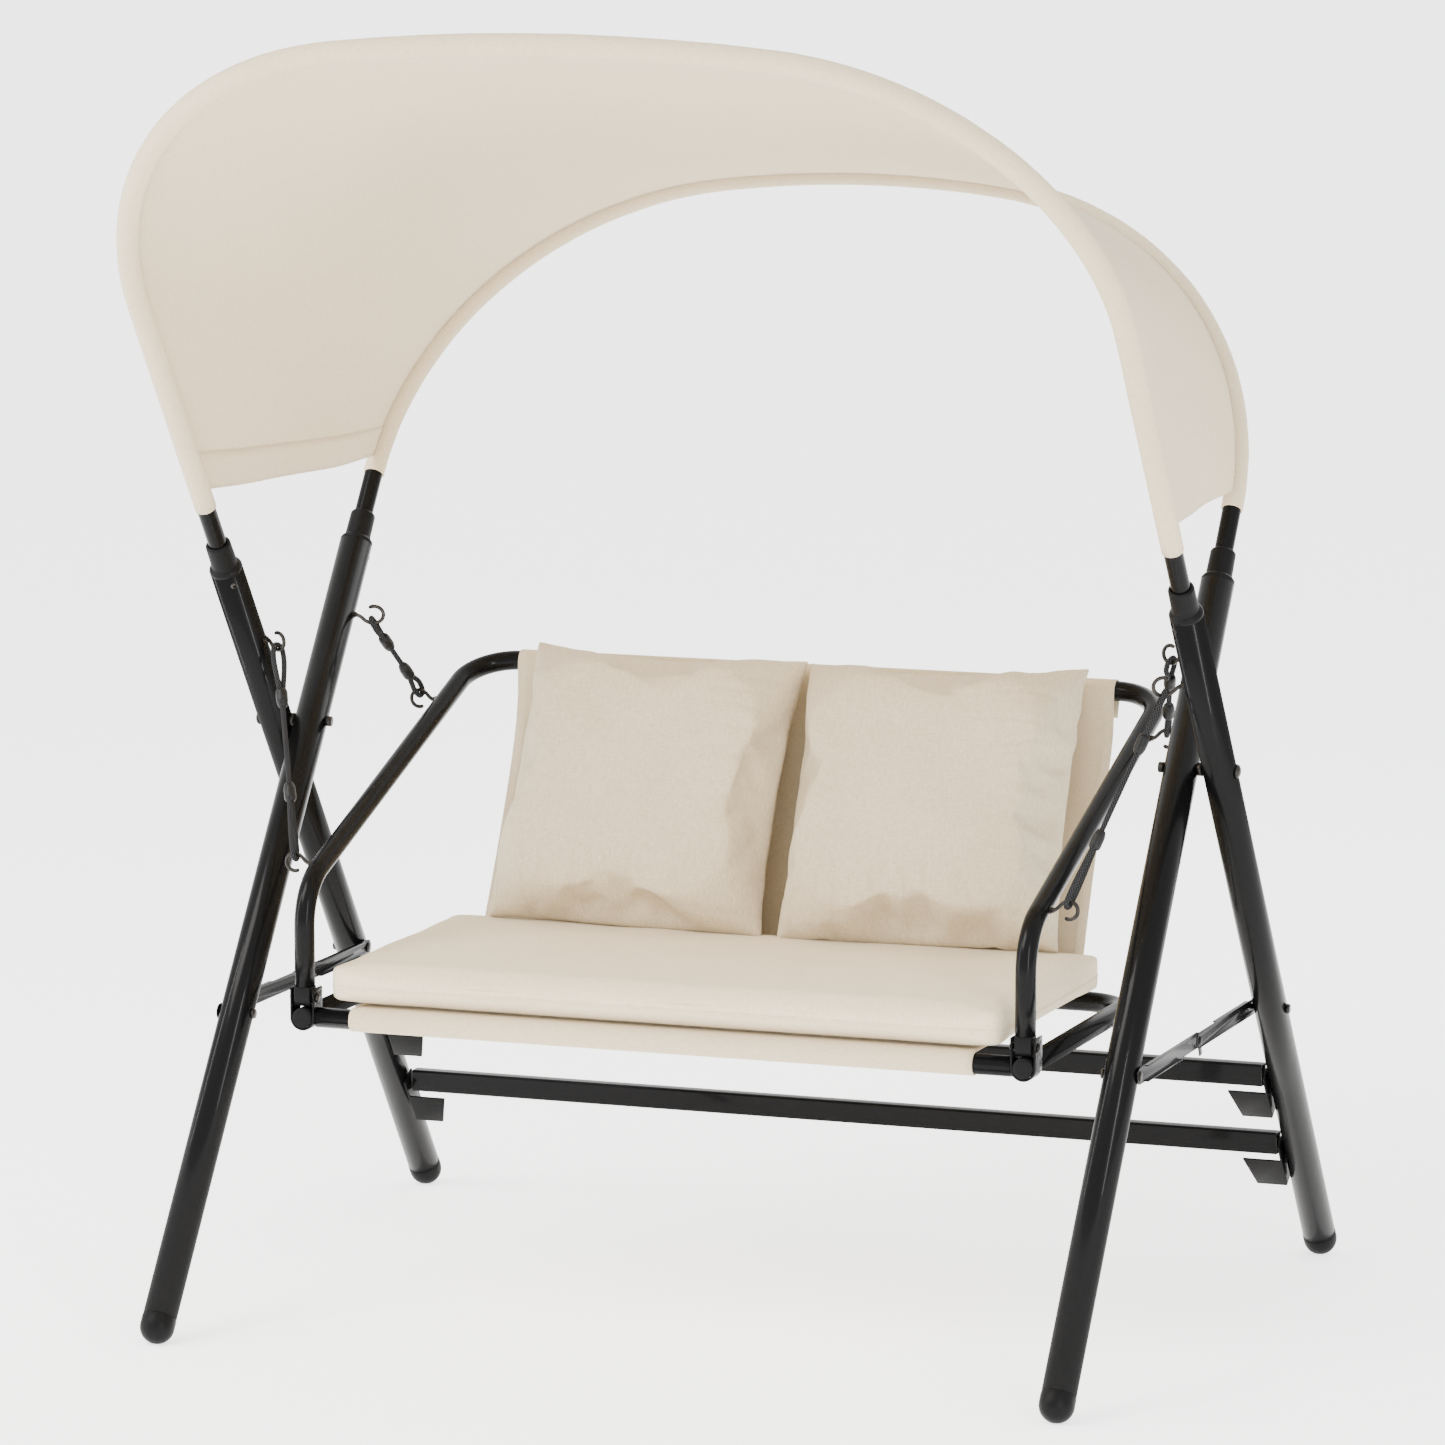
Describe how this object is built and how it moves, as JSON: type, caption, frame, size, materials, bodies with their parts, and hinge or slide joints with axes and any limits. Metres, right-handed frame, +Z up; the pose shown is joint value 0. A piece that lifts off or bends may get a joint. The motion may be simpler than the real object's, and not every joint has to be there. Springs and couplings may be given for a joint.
{
  "type": "garden swing seat",
  "caption": "Two-seat garden swing hung on ropes from a folding frame of crossed legs, with a cloth canopy between two bows, a padded seat and back pillows.",
  "frame": {"origin": "on the floor under the middle of the object's box", "axes": "+Z up, +Y towards the back of the seat, +X to the right as seen from the front"},
  "size_m": [1.5466, 1.3773, 1.9146],
  "materials": {
    "paint": "gloss",
    "plastic": "satin",
    "fastener": "satin",
    "rope": "matte",
    "canopy_fabric": "matte",
    "sling_fabric": "matte",
    "cushion_fabric": "matte"
  },
  "bodies": {
    "rear_leg_frame": {"front_top_hook_left": "fastener", "front_top_hook_right": "fastener", "rear_leg_left": "paint", "rear_leg_right": "paint", "rear_foot_left": "plastic", "rear_foot_right": "plastic", "rear_leg_socket_left": "plastic", "rear_leg_socket_right": "plastic", "front_bow": "paint", "front_bow_sleeve": "canopy_fabric", "canopy_sheet": "canopy_fabric", "upper_crossbar": "paint", "lower_crossbar": "paint", "upper_bracket_left": "paint", "upper_bracket_right": "paint", "lower_bracket_left": "paint", "lower_bracket_right": "paint", "pivot_bolt_left": "fastener", "pivot_bolt_right": "fastener", "brace_rear_pin_left": "fastener", "brace_rear_pin_right": "fastener"},
    "front_leg_frame": {"front_leg_left": "paint", "front_leg_right": "paint", "front_foot_left": "plastic", "front_foot_right": "plastic", "front_leg_socket_left": "plastic", "front_leg_socket_right": "plastic", "rear_bow": "paint", "rear_bow_sleeve": "canopy_fabric", "brace_front_pin_left": "fastener", "brace_front_pin_right": "fastener"},
    "brace_front_straps": {"brace_front_strap_left": "paint", "brace_front_strap_right": "paint"},
    "brace_rear_straps": {"brace_rear_strap_left": "paint", "brace_rear_strap_right": "paint"},
    "front_ropes": {"front_rope_left": "rope", "front_rope_right": "rope"},
    "front_arm_hooks": {"front_arm_hook_left": "fastener", "front_arm_hook_right": "fastener"},
    "rear_top_hooks": {"rear_top_hook_left": "fastener", "rear_top_hook_right": "fastener"},
    "rear_ropes": {"rear_rope_left": "rope", "rear_rope_right": "rope"},
    "seat_back": {"arm_back_tube": "paint", "sling": "sling_fabric", "pillow_left": "cushion_fabric", "pillow_right": "cushion_fabric", "rear_arm_hook_left": "fastener", "rear_arm_hook_right": "fastener", "seat_pin_left": "fastener", "seat_pin_right": "fastener"},
    "seat_base": {"seat_frame_tube": "paint", "seat_front_tube": "paint", "seat_cushion": "cushion_fabric", "seat_bracket_left": "paint", "seat_bracket_right": "paint", "seat_end_plug_left": "plastic", "seat_end_plug_right": "plastic"}
  },
  "joints": [
    {"name": "frame_fold", "type": "hinge", "parent": "rear_leg_frame", "child": "front_leg_frame", "pos_m": [0, 0.08437, 0.834], "axis": [1, 0, 0], "range_deg": [0, 40], "deforming": ["canopy_sheet", "front_rope_left", "front_rope_right", "rear_rope_left", "rear_rope_right"]},
    {"name": "brace_front_fold", "type": "hinge", "parent": "front_leg_frame", "child": "brace_front_straps", "pos_m": [0, -0.19946, 0.4358], "axis": [1, 0, 0], "range_deg": [0, 42.7]},
    {"name": "brace_rear_fold", "type": "hinge", "parent": "rear_leg_frame", "child": "brace_rear_straps", "pos_m": [0, 0.3682, 0.4358], "axis": [1, 0, 0], "range_deg": [-42.7, 0]},
    {"name": "seat_swing", "type": "hinge", "parent": "rear_leg_frame", "child": "front_arm_hooks", "pos_m": [0, 0.0676, 1.12516], "axis": [1, 0, 0], "range_deg": [-7.4, 7.4], "deforming": ["front_rope_left", "front_rope_right", "rear_rope_left", "rear_rope_right"]},
    {"name": "seat_tilt", "type": "hinge", "parent": "front_arm_hooks", "child": "seat_back", "pos_m": [0, -0.17702, 0.6624], "axis": [1, 0, 0], "range_deg": [0, 15.5]},
    {"name": "front_rope_swing", "type": "hinge", "parent": "rear_leg_frame", "child": "front_ropes", "pos_m": [0, -0.02514, 0.95501], "axis": [1, 0, 0], "range_deg": [-12.4, 12.4]},
    {"name": "rear_top_hook_turn", "type": "hinge", "parent": "front_leg_frame", "child": "rear_top_hooks", "pos_m": [0, 0.20387, 0.96902], "axis": [1, 0, 0], "range_deg": [-6.9, 0]},
    {"name": "rear_rope_swing", "type": "hinge", "parent": "rear_top_hooks", "child": "rear_ropes", "pos_m": [0, 0.20387, 0.96902], "axis": [1, 0, 0], "range_deg": [-18, 18]},
    {"name": "seat_fold", "type": "hinge", "parent": "seat_back", "child": "seat_base", "pos_m": [0, -0.24263, 0.4755], "axis": [1, 0, 0], "range_deg": [0, 30], "deforming": ["sling", "pillow_left", "pillow_right"]}
  ],
  "couplings": [
    {"joint": "brace_front_fold", "follows": "frame_fold", "ratio": 1.0656},
    {"joint": "brace_rear_fold", "follows": "frame_fold", "ratio": -1.0656},
    {"joint": "seat_tilt", "follows": "frame_fold", "ratio": 0.385},
    {"joint": "rear_top_hook_turn", "follows": "frame_fold", "ratio": -0.17},
    {"joint": "front_rope_swing", "follows": "seat_swing", "ratio": 1.6107},
    {"joint": "rear_rope_swing", "follows": "seat_swing", "ratio": 2.3699}
  ]
}
